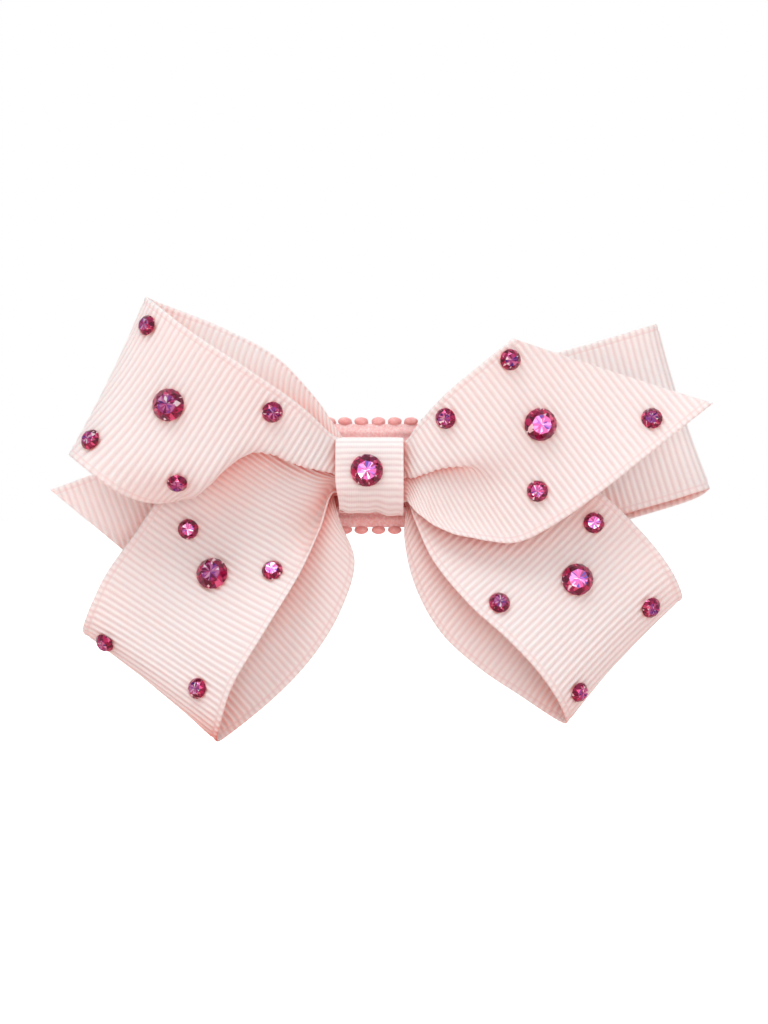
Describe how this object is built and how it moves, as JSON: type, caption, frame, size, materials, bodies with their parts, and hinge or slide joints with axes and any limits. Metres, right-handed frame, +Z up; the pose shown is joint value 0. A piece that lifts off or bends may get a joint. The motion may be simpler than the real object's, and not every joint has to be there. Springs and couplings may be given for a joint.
{
  "type": "hair bow",
  "caption": "Looped ribbon hair bow set with round crystals, wrapped at the knot and fixed to a loop of picot-edged elastic.",
  "frame": {"origin": "middle of the front strand of the elastic, on its inner face behind the knot, where the gathered hair rests; the middle of the knot is 6.5 mm in front of it", "axes": "+Z up as worn, +X to the right as the bow is seen from the front, the bow faces -Y and the loop of elastic lies behind it towards +Y"},
  "size_m": [0.0969, 0.0261, 0.0646],
  "materials": {
    "ribbon": "ribbed grosgrain, soft satin sheen",
    "elastic": "plush, matte",
    "thread": "matte twisted thread",
    "glue": "set hot-melt glue",
    "crystal": "faceted glass with a foil back"
  },
  "bodies": {
    "knot": {"gathered_centre": "ribbon", "binding_thread": "thread", "knot_wrap": "ribbon", "knot_glue": "glue", "knot_crystal": "crystal", "band_front": "elastic", "band_left_turn": "elastic", "band_right_turn": "elastic"},
    "upper_left_loop": {"upper_left_loop": "ribbon", "upper_left_loop_crystal_1": "crystal", "upper_left_loop_crystal_2": "crystal", "upper_left_loop_crystal_3": "crystal", "upper_left_loop_crystal_4": "crystal", "upper_left_loop_crystal_5": "crystal"},
    "lower_left_loop": {"lower_left_loop": "ribbon", "lower_left_loop_crystal_1": "crystal", "lower_left_loop_crystal_2": "crystal", "lower_left_loop_crystal_3": "crystal", "lower_left_loop_crystal_4": "crystal", "lower_left_loop_crystal_5": "crystal"},
    "lower_right_loop": {"lower_right_loop": "ribbon", "lower_right_loop_crystal_1": "crystal", "lower_right_loop_crystal_2": "crystal", "lower_right_loop_crystal_3": "crystal", "lower_right_loop_crystal_4": "crystal", "lower_right_loop_crystal_5": "crystal"},
    "front_tail": {"front_tail": "ribbon", "front_tail_crystal_1": "crystal", "front_tail_crystal_2": "crystal", "front_tail_crystal_3": "crystal", "front_tail_crystal_4": "crystal", "front_tail_crystal_5": "crystal"},
    "right_rear_loop": {"right_rear_loop": "ribbon"},
    "rear_tail": {"rear_tail": "ribbon"},
    "band_rear": {"band_rear": "elastic", "band_lap": "elastic", "seam_stitches": "thread"}
  },
  "joints": [
    {"name": "upper_left_lift", "type": "hinge", "parent": "knot", "child": "upper_left_loop", "pos_m": [-0.0052, -0.0092, 0], "axis": [0, 0, 1], "range_deg": [0, 18], "stiffness_Nm_per_rad": 0.02},
    {"name": "lower_left_swing", "type": "hinge", "parent": "knot", "child": "lower_left_loop", "pos_m": [-0.0052, -0.0058, -0.0054], "axis": [0, -1, 0], "range_deg": [0, 8], "stiffness_Nm_per_rad": 0.02},
    {"name": "lower_right_swing", "type": "hinge", "parent": "knot", "child": "lower_right_loop", "pos_m": [0.0052, -0.0071, -0.0054], "axis": [0, 1, 0], "range_deg": [0, 8], "stiffness_Nm_per_rad": 0.02},
    {"name": "front_tail_lift", "type": "hinge", "parent": "knot", "child": "front_tail", "pos_m": [0.0052, -0.0092, 0], "axis": [0, 0, -1], "range_deg": [0, 20], "stiffness_Nm_per_rad": 0.02},
    {"name": "right_rear_swing", "type": "hinge", "parent": "knot", "child": "right_rear_loop", "pos_m": [0.0052, -0.0045, 0], "axis": [0, 1, 0], "range_deg": [-6, 6], "stiffness_Nm_per_rad": 0.02},
    {"name": "rear_tail_swing", "type": "hinge", "parent": "knot", "child": "rear_tail", "pos_m": [-0.0052, -0.004, 0], "axis": [0, 1, 0], "range_deg": [-6, 6], "stiffness_Nm_per_rad": 0.02},
    {"name": "band_stretch", "type": "slide", "parent": "knot", "child": "band_rear", "axis": [0, 1, 0], "range_m": [0, 0.025], "stiffness_N_per_m": 100, "deforming": ["band_left_turn", "band_right_turn"]}
  ]
}
